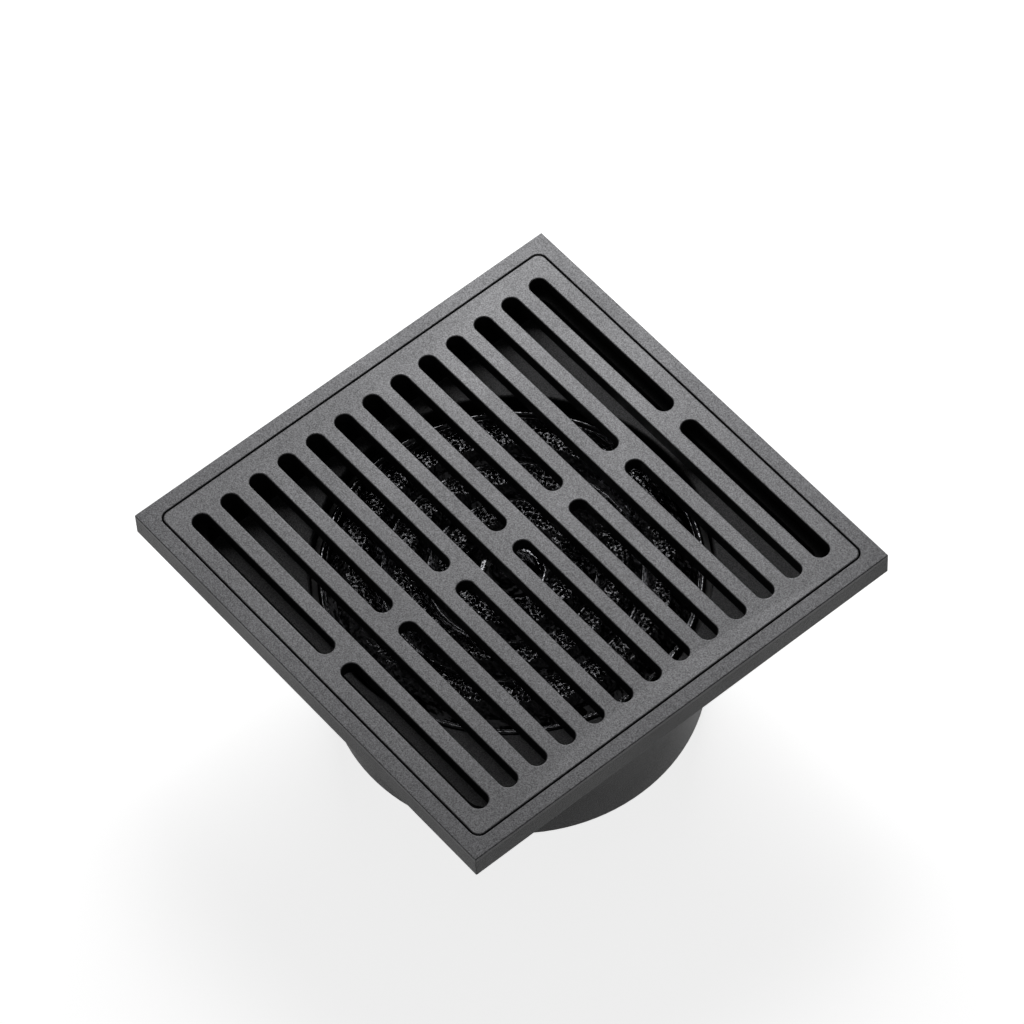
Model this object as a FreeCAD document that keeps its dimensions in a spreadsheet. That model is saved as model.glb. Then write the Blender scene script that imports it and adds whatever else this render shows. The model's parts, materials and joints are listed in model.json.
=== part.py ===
# Shower drain: a slotted square cover flush in a square frame, a tray with a round well,
# a corrugated strainer, and a spring-loaded trap core that lifts out of the well.
# Millimetres. +X along the slots, +Y across them, +Z up. The origin is the centre of the
# outlet spigot's lower end, on which the drain stands.
import FreeCAD, Part
import math
import os
import re

import Sketcher

SIZES = [
    # Frame, tray and outlet, one casting
    ("frame_side", 150.0),
    ("total_height", 72.0),
    ("rim_width", 4.65),
    ("rim_height", 8.0),
    ("recess_corner", 3.0),
    ("ledge_width", 7.85),
    ("tray_depth", 13.5),
    ("tray_corner", 6.0),
    ("tray_wall", 3.0),
    ("tray_floor", 2.5),
    ("tray_root_fillet", 2.0),
    ("tray_shelf", 5.3),
    ("well_lip", 0.5),
    ("well_wall", 3.0),
    ("well_depth", 22.4),
    ("well_floor", 2.5),
    ("well_seat_width", 5.2),
    ("spigot_wall", 3.0),
    ("spigot_chamfer", 1.5),
    ("casting_bevel", 1.2),
    # Slotted cover
    ("cover_gap", 0.4),
    ("cover_thickness", 5.0),
    ("cover_edge_break", 0.4),
    ("slot_width", 5.5),
    ("slot_end_margin", 6.4),
    ("slot_side_margin", 5.16),
    ("slot_bridge", 5.96),
    ("split_rows", 7),
    # Strainer, pressed from one sheet
    ("strainer_sheet", 0.8),
    ("strainer_bead", 0.8),
    ("strainer_side_gap", 2.0),
    ("strainer_flange", 6.4),
    ("strainer_pitch", 13.0),
    ("strainer_crest_width", 5.0),
    ("strainer_flank", 2.0),
    ("strainer_rise", 3.6),
    ("strainer_boss", 4.5),
    ("strainer_hole", 2.8),
    ("strainer_hole_spacing", 11.0),
    ("lifting_hole", 1.6),
    # Trap core: cup, seal and guide
    ("core_clearance", 0.5),
    ("core_seal_gap", 0.4),
    ("core_seal_thickness", 1.6),
    ("core_flange", 1.8),
    ("core_cup_clearance", 0.6),
    ("core_wall", 1.6),
    ("core_cup_depth", 19.0),
    ("core_cone_drop", 6.0),
    ("core_seat_radius", 30.0),
    ("core_lip_width", 2.0),
    ("core_lip_drop", 2.5),
    ("hub_radius", 9.0),
    ("hub_height", 5.0),
    ("hub_lift", 2.0),
    ("arm_count", 4),
    ("arm_width", 3.2),
    ("guide_radius", 5.0),
    # Plunger that slides in the guide
    ("plunger_travel", 8.0),
    ("plunger_end_gap", 1.4),
    ("stem_radius", 3.0),
    ("stem_running_gap", 0.06),
    ("stem_above_clip", 1.4),
    ("stem_end_radius", 2.5),
    ("thread_clearance", 0.05),
    ("thread_end", 1.5),
    ("washer_radius", 8.0),
    ("washer_thickness", 1.0),
    ("disc_seal_thickness", 1.5),
    ("disc_seal_overlap", 1.0),
    ("disc_thickness", 2.0),
    ("disc_rim_width", 0.9),
    ("disc_rim_height", 1.0),
    ("disc_rim_clearance", 0.3),
    ("nut_flats", 8.0),
    ("nut_thickness", 4.0),
    ("retainer_radius", 9.0),
    ("retainer_thickness", 1.5),
    ("retainer_skirt", 4.0),
    ("retainer_wall", 0.8),
    ("clip_thickness", 0.6),
    ("clip_groove_depth", 0.7),
    ("clip_width", 2.0),
    ("clip_mouth", 3.4),
    ("clip_gap", 0.1),
    ("spring_radius", 7.0),
    ("spring_wire", 0.9),
    ("spring_length", 14.9),
    ("spring_turns", 5.5),
]

doc = FreeCAD.newDocument("ShowerDrain")
sheet = doc.addObject("Spreadsheet::Sheet", "Sizes")
for row, (alias, number) in enumerate(SIZES, start=1):
    sheet.set("A%d" % row, alias)
    sheet.set("B%d" % row, str(number))
    sheet.setAlias("B%d" % row, alias)
doc.recompute()
ALIASES = {alias for alias, number in SIZES}
# How near a spot lies to a place to count as on it, and a length that counts as none
NEAR = 0.01
NOTHING = 1e-9

# Heights above the origin and radii that several pieces share, as formulas of the sheet
TOP = "total_height"
RECESS_SIDE = "(frame_side - 2 * rim_width)"
COVER_SIDE = "(%s - 2 * cover_gap)" % RECESS_SIDE
TRAY_SIDE = "(%s - 2 * ledge_width)" % RECESS_SIDE
WELL_RADIUS = "(%s / 2 - tray_shelf)" % TRAY_SIDE
OUTLET_RADIUS = "(%s - well_seat_width)" % WELL_RADIUS
SPIGOT_RADIUS = "(%s + spigot_wall)" % OUTLET_RADIUS
WELL_OUTER = "(%s + well_wall)" % WELL_RADIUS
COVER_BOTTOM = "(total_height - cover_thickness)"
TRAY_FLOOR_TOP = "(total_height - tray_depth)"
TRAY_FLOOR_BOTTOM = "(total_height - tray_depth - tray_floor)"
WELL_SEAT = "(total_height - well_depth)"
WELL_BOTTOM = "(total_height - well_depth - well_floor)"
SEAL_TOP = "(%s + core_seal_thickness)" % WELL_SEAT
CORE_TOP = "(%s + core_flange)" % SEAL_TOP
CORE_RADIUS = "(%s - core_clearance)" % WELL_RADIUS
CUP_OUTER = "(%s - core_cup_clearance)" % OUTLET_RADIUS
CUP_INNER = "(%s - core_wall)" % CUP_OUTER
CONE_TOP = "(%s - core_cup_depth)" % CORE_TOP
CONE_BOTTOM = "(%s - core_cone_drop)" % CONE_TOP
LIP_BOTTOM = "(%s - core_lip_drop)" % CONE_BOTTOM
LIP_OUTER = "(core_seat_radius + core_lip_width)"
HUB_BOTTOM = "(%s + hub_lift)" % LIP_BOTTOM
HUB_TOP = "(%s + hub_height)" % HUB_BOTTOM
# The cap stops short of the guide by the end gap when the plunger is fully down
GUIDE_HEIGHT = "(spring_length - plunger_travel - plunger_end_gap)"
GUIDE_TOP = "(%s + %s)" % (HUB_TOP, GUIDE_HEIGHT)
GUIDE_BORE = "(stem_radius + stem_running_gap)"
CAP_BOTTOM = "(%s + spring_length)" % HUB_TOP
CAP_TOP = "(%s + retainer_thickness)" % CAP_BOTTOM
CLIP_TOP = "(%s + clip_thickness)" % CAP_TOP
STEM_TOP = "(%s + clip_gap + stem_above_clip)" % CLIP_TOP
WASHER_TOP = "(%s + washer_thickness)" % LIP_BOTTOM
DISC_TOP = "(%s - disc_seal_thickness)" % LIP_BOTTOM
DISC_BOTTOM = "(%s - disc_thickness)" % DISC_TOP
DISC_SEAL_RADIUS = "(%s + disc_seal_overlap)" % LIP_OUTER
DISC_RADIUS = "(%s + disc_rim_clearance + disc_rim_width)" % DISC_SEAL_RADIUS
NUT_BOTTOM = "(%s - nut_thickness)" % DISC_BOTTOM
THREAD_HOLE = "(stem_end_radius + thread_clearance)"
STRAINER_BOTTOM = CORE_TOP
STRAINER_RIM = "(%s - strainer_side_gap - strainer_bead)" % WELL_RADIUS
STRAINER_CREST = "(%s - strainer_flange - strainer_flank - strainer_crest_width / 2)" % STRAINER_RIM
WIRE_FLATS = 8
# Rows of slots alternate between split and whole, with a split row at each side
SLOT_PITCH = "((%s - 2 * slot_side_margin - slot_width) / (2 * split_rows - 2))" % COVER_SIDE
SLOT_REACH = "(%s / 2 - slot_end_margin)" % COVER_SIDE


def bound(formula):
    """Write a formula of sheet names as an expression on the sheet."""
    def with_sheet(match):
        word = match.group(0)
        return "Sizes." + word if word in ALIASES else word
    return re.sub(r"[a-z_]+", with_sheet, str(formula))


def value(formula):
    """The number that a formula of sheet names gives."""
    return float(sheet.evalExpression(bound(formula)))


def new_body(label):
    body = doc.addObject("PartDesign::Body", label)
    body.Label = label
    body.Placement = FreeCAD.Placement()
    return body


def origin_feature(body, role):
    return next(item for item in body.Origin.OriginFeatures if item.Role == role)


def new_sketch(body, name, role="XY_Plane", height=None):
    """A sketch on one of the body's origin planes, lifted to a height where one is given."""
    sketch = body.newObject("Sketcher::SketchObject", name)
    sketch.AttachmentSupport = [(origin_feature(body, role), "")]
    sketch.MapMode = "FlatFace"
    if height is not None:
        sketch.setExpression("AttachmentOffset.Base.z", bound(height))
    return sketch


def hold(sketch, kind, geometry, formula):
    """Tie one dimension of a sketch to the sheet; a negative distance is measured backwards."""
    size = value(formula)
    if size < 0:
        constraint = Sketcher.Constraint(kind, geometry[2], geometry[3], geometry[0], geometry[1], -size)
        formula = "-(%s)" % formula
    else:
        constraint = Sketcher.Constraint(kind, *geometry, size)
    index = sketch.addConstraint(constraint)
    sketch.setExpression("Constraints[%d]" % index, bound(formula))


def hold_point(sketch, geometry, end, across, up):
    """Fix one end of a line or arc at a place given by two formulas."""
    for kind, formula in (("DistanceX", across), ("DistanceY", up)):
        if abs(value(formula)) < NOTHING:
            axis_of_zero = -2 if kind == "DistanceX" else -1
            sketch.addConstraint(Sketcher.Constraint("PointOnObject", geometry, end, axis_of_zero))
        else:
            hold(sketch, kind, (-1, 1, geometry, end), formula)


def arc_between(start, end, radius, side):
    """The minor arc of a radius from start to end; side +1 has its centre on the left."""
    chord = end - start
    middle = (start + end) / 2
    reach = math.sqrt(max(radius ** 2 - (chord.Length / 2) ** 2, 0.0))
    left = FreeCAD.Vector(-chord.y, chord.x, 0).normalize()
    centre = middle + left * reach * side
    bulge = middle - left * side * (radius - reach)
    return Part.Arc(start, bulge, end), centre


def draw_outline(sketch, points):
    """A closed outline. Each point is (across, up) or (across, up, radius, side): with a
    radius, an arc leads from it to the next point, and otherwise a line does."""
    places = [FreeCAD.Vector(value(point[0]), value(point[1]), 0) for point in points]
    first = sketch.GeometryCount
    for index, point in enumerate(points):
        start = places[index]
        end = places[(index + 1) % len(points)]
        if len(point) > 2:
            arc, centre = arc_between(start, end, value(point[2]), point[3])
            sketch.addGeometry(arc, False)
        else:
            sketch.addGeometry(Part.LineSegment(start, end), False)
    # An arc is always stored anticlockwise, so its start may be the far end of the stretch
    for index, point in enumerate(points):
        here = first + index
        start_end = end_nearest(sketch, here, places[index])
        before = first + (index - 1) % len(points)
        before_end = end_nearest(sketch, before, places[index])
        sketch.addConstraint(Sketcher.Constraint("Coincident", before, before_end, here, start_end))
        hold_point(sketch, here, start_end, point[0], point[1])
        if len(point) > 2:
            index_of_radius = sketch.addConstraint(Sketcher.Constraint("Radius", here, value(point[2])))
            sketch.setExpression("Constraints[%d]" % index_of_radius, bound(point[2]))


def end_nearest(sketch, geometry, place):
    ends = {1: sketch.getPoint(geometry, 1), 2: sketch.getPoint(geometry, 2)}
    return min(ends, key=lambda end: ends[end].distanceToPoint(place))


def draw_circle(sketch, radius):
    index = sketch.addGeometry(Part.Circle(FreeCAD.Vector(), FreeCAD.Vector(0, 0, 1), value(radius)), False)
    sketch.addConstraint(Sketcher.Constraint("Coincident", index, 3, -1, 1))
    of_radius = sketch.addConstraint(Sketcher.Constraint("Radius", index, value(radius)))
    sketch.setExpression("Constraints[%d]" % of_radius, bound(radius))


def draw_square(sketch, side):
    half = "(%s) / 2" % side
    draw_outline(sketch, [("-" + half, "-" + half), (half, "-" + half), (half, half), ("-" + half, half)])


def draw_slot(sketch, left, right, height):
    """A slot with round ends, from its left end to its right end, centred at a height."""
    radius = "slot_width / 2"
    above = "%s + %s" % (height, radius)
    below = "%s - %s" % (height, radius)
    left_centre = "%s + %s" % (left, radius)
    right_centre = "%s - %s" % (right, radius)
    draw_outline(sketch, [
        (left_centre, below),
        (right_centre, below, radius, 1),
        (right, height, radius, 1),
        (right_centre, above),
        (left_centre, above, radius, 1),
        (left, height, radius, 1),
    ])


def pad(body, sketch, length, name):
    feature = body.newObject("PartDesign::Pad", name)
    feature.Profile = sketch
    feature.setExpression("Length", bound(length))
    doc.recompute()
    return feature


def pocket(body, sketch, depth, name):
    """Cut downwards from the sketch, and make sure that it took something away."""
    before = body.Tip.Shape.Volume
    feature = body.newObject("PartDesign::Pocket", name)
    feature.Profile = sketch
    feature.setExpression("Length", bound(depth))
    doc.recompute()
    if feature.Shape.Volume >= before:
        raise RuntimeError(name + " cuts nothing")
    return feature


def revolve(body, points, name):
    """Turn an outline of (radius, height) points about the vertical axis."""
    sketch = new_sketch(body, name + "_profile", "XZ_Plane")
    draw_outline(sketch, points)
    feature = body.newObject("PartDesign::Revolution", name)
    feature.Profile = sketch
    feature.ReferenceAxis = (sketch, ["V_Axis"])
    feature.Angle = 360
    doc.recompute()
    return feature


def edges(feature, test):
    """Names of a feature's edges whose two ends and middle all pass a test."""
    names = []
    for index, edge in enumerate(feature.Shape.Edges, start=1):
        spots = [vertex.Point for vertex in edge.Vertexes]
        spots.append(edge.valueAt((edge.FirstParameter + edge.LastParameter) / 2))
        if all(test(spot) for spot in spots):
            names.append("Edge%d" % index)
    return names


def corner_edges(feature, side, low, high):
    """Names of the upright edges at the corners of a square, between two heights."""
    half = value(side) / 2
    floor, roof = value(low), value(high)

    def at_corner(spot):
        level = floor - NEAR < spot.z < roof + NEAR
        return level and abs(abs(spot.x) - half) < NEAR and abs(abs(spot.y) - half) < NEAR
    return edges(feature, at_corner)


def ring_edges(feature, radius, height):
    """Names of the edges on a circle of a radius at a height."""
    reach, level = value(radius), value(height)

    def on_ring(spot):
        return abs(math.hypot(spot.x, spot.y) - reach) < NEAR and abs(spot.z - level) < NEAR
    return edges(feature, on_ring)


def level_edges(feature, height, side, corner):
    """Names of the edges at a height on the outline of a square with round corners."""
    inside, level = value(side) / 2 - value(corner), value(height)

    def on_outline(spot):
        return abs(spot.z - level) < NEAR and max(abs(spot.x), abs(spot.y)) > inside
    return edges(feature, on_outline)


def round_off(body, feature, names, radius, name):
    fillet = body.newObject("PartDesign::Fillet", name)
    fillet.Base = (feature, names)
    fillet.setExpression("Radius", bound(radius))
    doc.recompute()
    return fillet


def bevel(body, feature, names, size, name):
    chamfer = body.newObject("PartDesign::Chamfer", name)
    chamfer.Base = (feature, names)
    chamfer.setExpression("Size", bound(size))
    doc.recompute()
    return chamfer


def polar_pattern(body, feature, count, name):
    pattern = body.newObject("PartDesign::PolarPattern", name)
    pattern.Originals = [feature]
    pattern.Axis = (origin_feature(body, "Z_Axis"), [""])
    pattern.Angle = 360
    pattern.setExpression("Occurrences", bound(count))
    body.Tip = pattern
    doc.recompute()
    return pattern


def row_pattern(body, feature, count, length, name):
    """Repeat a feature along -Y over a length."""
    pattern = body.newObject("PartDesign::LinearPattern", name)
    pattern.Originals = [feature]
    pattern.Direction = (origin_feature(body, "Y_Axis"), [""])
    pattern.Reversed = True
    pattern.setExpression("Length", bound(length))
    pattern.setExpression("Occurrences", bound(count))
    body.Tip = pattern
    doc.recompute()
    return pattern


def make_drain_body():
    """Frame, tray, well and outlet spigot, cast in one piece."""
    body = new_body("drain_body")
    outer_tray = "(%s + 2 * tray_wall)" % TRAY_SIDE

    rim = new_sketch(body, "rim_outline", height="total_height - rim_height")
    draw_square(rim, "frame_side")
    pad(body, rim, "rim_height", "rim")

    tray = new_sketch(body, "tray_outline", height=TRAY_FLOOR_BOTTOM)
    draw_square(tray, outer_tray)
    shell = pad(body, tray, "tray_depth + tray_floor - rim_height", "tray_shell")
    corners = corner_edges(shell, outer_tray, TRAY_FLOOR_BOTTOM, "total_height - rim_height")
    round_off(body, shell, corners, "tray_corner + tray_wall", "tray_shell_corners")

    well = new_sketch(body, "well_outline", height=WELL_BOTTOM)
    draw_circle(well, WELL_OUTER)
    pad(body, well, "%s - %s" % (TRAY_FLOOR_BOTTOM, WELL_BOTTOM), "well_shell")

    spigot = new_sketch(body, "spigot_outline")
    draw_circle(spigot, SPIGOT_RADIUS)
    outlet = pad(body, spigot, WELL_BOTTOM, "spigot")
    root = ring_edges(outlet, SPIGOT_RADIUS, WELL_BOTTOM)
    root += ring_edges(outlet, WELL_OUTER, TRAY_FLOOR_BOTTOM)
    bevel(body, outlet, root, "casting_bevel", "casting_bevels")

    recess = new_sketch(body, "recess_outline", height=TOP)
    draw_square(recess, RECESS_SIDE)
    seat = pocket(body, recess, "cover_thickness", "cover_recess")
    corners = corner_edges(seat, RECESS_SIDE, COVER_BOTTOM, TOP)
    round_off(body, seat, corners, "recess_corner", "recess_corners")

    basin = new_sketch(body, "basin_outline", height=COVER_BOTTOM)
    draw_square(basin, TRAY_SIDE)
    hollow = pocket(body, basin, "tray_depth - cover_thickness", "basin")
    corners = corner_edges(hollow, TRAY_SIDE, TRAY_FLOOR_TOP, COVER_BOTTOM)
    rounded = round_off(body, hollow, corners, "tray_corner", "basin_corners")
    floor_edges = level_edges(rounded, TRAY_FLOOR_TOP, TRAY_SIDE, "tray_corner")
    round_off(body, rounded, floor_edges, "tray_root_fillet", "basin_root")

    bore = new_sketch(body, "well_bore", height=TRAY_FLOOR_TOP)
    draw_circle(bore, WELL_RADIUS)
    pocket(body, bore, "well_depth - tray_depth", "well")
    throat = new_sketch(body, "outlet_bore", height=WELL_SEAT)
    draw_circle(throat, OUTLET_RADIUS)
    open_end = pocket(body, throat, WELL_SEAT, "outlet")
    edge = ring_edges(open_end, WELL_RADIUS, TRAY_FLOOR_TOP)
    lip = bevel(body, open_end, edge, "well_lip", "well_lip")
    bevel(body, lip, ring_edges(lip, SPIGOT_RADIUS, 0), "spigot_chamfer", "spigot_end")
    return body


def make_cover_grate():
    """Flat cover with rows of slots; every second row is parted by a bridge."""
    body = new_body("cover_grate")
    outline = new_sketch(body, "cover_outline", height=COVER_BOTTOM)
    draw_square(outline, COVER_SIDE)
    plate = pad(body, outline, "cover_thickness", "plate")
    corners = corner_edges(plate, COVER_SIDE, COVER_BOTTOM, TOP)
    rounded = round_off(body, plate, corners, "recess_corner - cover_gap", "plate_corners")
    rim = level_edges(rounded, TOP, COVER_SIDE, "recess_corner")
    bevel(body, rounded, rim, "cover_edge_break", "plate_edge")

    split = new_sketch(body, "split_row", height=TOP)
    first_row = "(split_rows - 1) * %s" % SLOT_PITCH
    draw_slot(split, "-" + SLOT_REACH, "-slot_bridge / 2", first_row)
    draw_slot(split, "slot_bridge / 2", SLOT_REACH, first_row)
    cut = pocket(body, split, "cover_thickness", "split_slots")
    row_pattern(body, cut, "split_rows", "2 * (split_rows - 1) * %s" % SLOT_PITCH, "split_slot_rows")

    full = new_sketch(body, "full_row", height=TOP)
    second_row = "(split_rows - 2) * %s" % SLOT_PITCH
    draw_slot(full, "-" + SLOT_REACH, SLOT_REACH, second_row)
    cut = pocket(body, full, "cover_thickness", "full_slot")
    row_pattern(body, cut, "split_rows - 1", "2 * (split_rows - 2) * %s" % SLOT_PITCH, "full_slot_rows")
    return body


def strainer_rings():
    """Radii of the middles of the strainer's raised rings, from the outside inwards."""
    room = "%s - strainer_crest_width / 2 - 2 * strainer_flank - strainer_boss" % STRAINER_CREST
    count = int(value(room) / value("strainer_pitch")) + 1
    return ["(%s - %d * strainer_pitch)" % (STRAINER_CREST, ring) for ring in range(count)]


def sheet_face(low, shift):
    """One face of the corrugated sheet from the flange inwards, as (radius, height) points.
    Low is the height of its valleys, and shift moves its bends outwards."""
    high = "%s + strainer_rise" % low
    points = []
    for crest in strainer_rings():
        outer = "%s + strainer_crest_width / 2 + %s" % (crest, shift)
        inner = "%s - strainer_crest_width / 2 - %s" % (crest, shift)
        points.append(("%s + strainer_flank" % outer, low))
        points.append((outer, high))
        points.append((inner, high))
        points.append(("%s - strainer_flank" % inner, low))
    points.append(("strainer_boss + strainer_flank + %s" % shift, low))
    points.append(("strainer_boss + %s" % shift, high))
    points.append(("0", high))
    return points


def make_strainer():
    """Corrugated sheet with a folded rim and rings of square holes in its raised rings."""
    body = new_body("strainer")
    outline = [
        (STRAINER_RIM, STRAINER_BOTTOM),
        ("%s + strainer_bead" % STRAINER_RIM, "%s + strainer_bead" % STRAINER_BOTTOM),
        (STRAINER_RIM, "%s + 2 * strainer_bead" % STRAINER_BOTTOM),
        ("%s - strainer_bead" % STRAINER_RIM, "%s + strainer_sheet" % STRAINER_BOTTOM),
    ]
    # The sheet's upper face leans out by the tangent of half the flank's slope
    slope = "sqrt(strainer_rise ^ 2 + strainer_flank ^ 2)"
    lean = "(strainer_sheet * (%s - strainer_flank) / strainer_rise)" % slope
    outline += sheet_face("(%s + strainer_sheet)" % STRAINER_BOTTOM, lean)
    outline += reversed(sheet_face(STRAINER_BOTTOM, "0"))
    revolve(body, outline, "corrugated_sheet")

    over = "(%s + 2 * strainer_rise)" % STRAINER_BOTTOM
    for ring, crest in enumerate(strainer_rings()):
        holes = int(2 * math.pi * value(crest) / value("strainer_hole_spacing"))
        sketch = new_sketch(body, "hole_%d" % ring, height=over)
        near = "(%s - strainer_hole / 2)" % crest
        far = "(%s + strainer_hole / 2)" % crest
        draw_outline(sketch, [
            (near, "-strainer_hole / 2"),
            (far, "-strainer_hole / 2"),
            (far, "strainer_hole / 2"),
            (near, "strainer_hole / 2"),
        ])
        cut = pocket(body, sketch, "2 * strainer_rise", "ring_hole_%d" % ring)
        polar_pattern(body, cut, holes, "ring_holes_%d" % ring)
    sketch = new_sketch(body, "middle_hole", height=over)
    draw_circle(sketch, "lifting_hole")
    pocket(body, sketch, "2 * strainer_rise", "lifting_hole")
    return body


def make_ring(label, inner, outer, bottom, top):
    """A plain round washer or seal."""
    body = new_body(label)
    revolve(body, [(inner, bottom), (outer, bottom), (outer, top), (inner, top)], "ring")
    return body


def make_core_body():
    """Cup that hangs in the well by its flange, with a conical floor, a sealing lip and
    a guide tube on arms in the opening."""
    body = new_body("core_body")
    revolve(body, [
        (CUP_OUTER, CONE_TOP),
        (CUP_OUTER, SEAL_TOP),
        (CORE_RADIUS, SEAL_TOP),
        (CORE_RADIUS, CORE_TOP),
        (CUP_INNER, CORE_TOP),
        (CUP_INNER, "%s + core_wall" % CONE_TOP),
        ("core_seat_radius", "%s + core_wall" % CONE_BOTTOM),
        ("core_seat_radius", LIP_BOTTOM),
        (LIP_OUTER, LIP_BOTTOM),
        (LIP_OUTER, CONE_BOTTOM),
    ], "cup")

    arm = new_sketch(body, "arm_outline", height=HUB_BOTTOM)
    half = "arm_width / 2"
    reach = "(core_seat_radius + core_lip_width / 2)"
    inner = "(hub_radius / 2)"
    draw_outline(arm, [(inner, "-" + half), (reach, "-" + half), (reach, half), (inner, half)])
    first_arm = pad(body, arm, "hub_height", "arm")
    polar_pattern(body, first_arm, "arm_count", "arms")

    hub = new_sketch(body, "hub_outline", height=HUB_BOTTOM)
    draw_circle(hub, "hub_radius")
    pad(body, hub, "hub_height", "hub")
    guide = new_sketch(body, "guide_outline", height=HUB_TOP)
    draw_circle(guide, "guide_radius")
    pad(body, guide, GUIDE_HEIGHT, "guide_tube")
    bore = new_sketch(body, "guide_bore", height=GUIDE_TOP)
    draw_circle(bore, GUIDE_BORE)
    pocket(body, bore, "%s + hub_height" % GUIDE_HEIGHT, "bore")
    return body


def make_plunger_stem():
    """Turned rod: shoulder and thread below, groove for the clip above."""
    body = new_body("plunger_stem")
    groove = "(stem_radius - clip_groove_depth)"
    groove_bottom = CAP_TOP
    groove_top = "(%s + clip_gap)" % CLIP_TOP
    end = "(%s - thread_end)" % NUT_BOTTOM
    break_size = "(clip_groove_depth / 2)"
    revolve(body, [
        ("0", end),
        ("stem_end_radius - %s" % break_size, end),
        ("stem_end_radius", "%s + %s" % (end, break_size)),
        ("stem_end_radius", WASHER_TOP),
        ("stem_radius", WASHER_TOP),
        ("stem_radius", groove_bottom),
        (groove, groove_bottom),
        (groove, groove_top),
        ("stem_radius", groove_top),
        ("stem_radius", "%s - %s" % (STEM_TOP, break_size)),
        ("stem_radius - %s" % break_size, STEM_TOP),
        ("0", STEM_TOP),
    ], "rod")
    return body


def make_plunger_disc():
    """Dished disc that carries the silicone seal inside its rim."""
    body = new_body("plunger_disc")
    inside = "(%s - disc_rim_width)" % DISC_RADIUS
    rim_top = "(%s + disc_rim_height)" % DISC_TOP
    chamfer = "(disc_thickness / 2)"
    revolve(body, [
        (THREAD_HOLE, DISC_BOTTOM),
        ("%s - %s" % (DISC_RADIUS, chamfer), DISC_BOTTOM),
        (DISC_RADIUS, "%s + %s" % (DISC_BOTTOM, chamfer)),
        (DISC_RADIUS, rim_top),
        (inside, rim_top),
        (inside, DISC_TOP),
        (THREAD_HOLE, DISC_TOP),
    ], "dish")
    return body


def make_disc_nut():
    """Hexagon nut with chamfered corners."""
    body = new_body("disc_nut")
    sketch = new_sketch(body, "hexagon", height=NUT_BOTTOM)
    corner = "(nut_flats / sqrt(3))"
    half_flat = "(nut_flats / 2)"
    draw_outline(sketch, [
        (corner, "0"),
        ("%s / 2" % corner, half_flat),
        ("-%s / 2" % corner, half_flat),
        ("-" + corner, "0"),
        ("-%s / 2" % corner, "-" + half_flat),
        ("%s / 2" % corner, "-" + half_flat),
    ])
    pad(body, sketch, "nut_thickness", "prism")
    crown = new_sketch(body, "corner_cut", "XZ_Plane")
    slope = "(%s - %s)" % (corner, half_flat)
    draw_outline(crown, [
        (half_flat, NUT_BOTTOM),
        ("%s + %s" % (corner, slope), NUT_BOTTOM),
        ("%s + %s" % (corner, slope), "%s + %s" % (NUT_BOTTOM, slope)),
    ])
    groove = body.newObject("PartDesign::Groove", "corner_chamfer")
    groove.Profile = crown
    groove.ReferenceAxis = (crown, ["V_Axis"])
    groove.Angle = 360
    doc.recompute()
    hole = new_sketch(body, "nut_bore", height="%s + nut_thickness" % NUT_BOTTOM)
    draw_circle(hole, THREAD_HOLE)
    pocket(body, hole, "nut_thickness", "bore")
    return body


def make_stem_cap():
    """Cap that the spring lifts, with a skirt round the coils."""
    body = new_body("stem_cap")
    skirt_bottom = "(%s - retainer_skirt)" % CAP_BOTTOM
    revolve(body, [
        (GUIDE_BORE, CAP_BOTTOM),
        ("retainer_radius - retainer_wall", CAP_BOTTOM),
        ("retainer_radius - retainer_wall", skirt_bottom),
        ("retainer_radius", skirt_bottom),
        ("retainer_radius", "%s - retainer_wall" % CAP_TOP),
        ("retainer_radius - retainer_wall", CAP_TOP),
        (GUIDE_BORE, CAP_TOP),
    ], "cap")
    return body


def make_cap_clip():
    """Open ring clip in the stem's groove."""
    body = new_body("cap_clip")
    inner = "(stem_radius - clip_groove_depth + clip_gap / 2)"
    outer = "(%s + clip_width)" % inner
    revolve(body, [(inner, CAP_TOP), (outer, CAP_TOP), (outer, CLIP_TOP), (inner, CLIP_TOP)], "clip")
    mouth = new_sketch(body, "mouth_outline", height=CLIP_TOP)
    half = "clip_mouth / 2"
    reach = "2 * %s" % outer
    draw_outline(mouth, [("0", "-" + half), (reach, "-" + half), (reach, half), ("0", half)])
    pocket(body, mouth, "clip_thickness", "mouth")
    return body


def make_return_spring():
    """Compression spring between the hub and the cap. Its round wire has eight flats."""
    body = new_body("return_spring")
    sketch = new_sketch(body, "wire_section", "XZ_Plane")
    middle = "%s + spring_wire / 2" % HUB_TOP
    section = []
    for corner in range(WIRE_FLATS):
        angle = 2 * math.pi * (corner + 0.5) / WIRE_FLATS
        across = "spring_radius + %.6f * spring_wire / 2" % math.cos(angle)
        section.append((across, "%s + %.6f * spring_wire / 2" % (middle, math.sin(angle))))
    draw_outline(sketch, section)
    helix = body.newObject("PartDesign::AdditiveHelix", "coil")
    helix.Profile = sketch
    helix.ReferenceAxis = (sketch, ["V_Axis"])
    helix.Mode = "height-turns-angle"
    helix.setExpression("Height", bound("spring_length - spring_wire"))
    helix.setExpression("Turns", bound("spring_turns"))
    doc.recompute()
    return body


def check_document():
    """Stop if any object of the document failed."""
    for item in doc.Objects:
        if "Invalid" in item.State or "Error" in item.State:
            raise RuntimeError("%s failed: %s" % (item.Name, item.State))


def write_pieces(pieces):
    os.makedirs("parts", exist_ok=True)
    for piece in pieces:
        shape = piece.Shape
        if shape.isNull() or not shape.isValid() or len(shape.Solids) != 1:
            raise RuntimeError(piece.Label + " is not one valid solid")
        shape.exportStep("parts/%s.step" % piece.Label)
        print("%-14s %9.1f mm3" % (piece.Label, shape.Volume))


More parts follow.
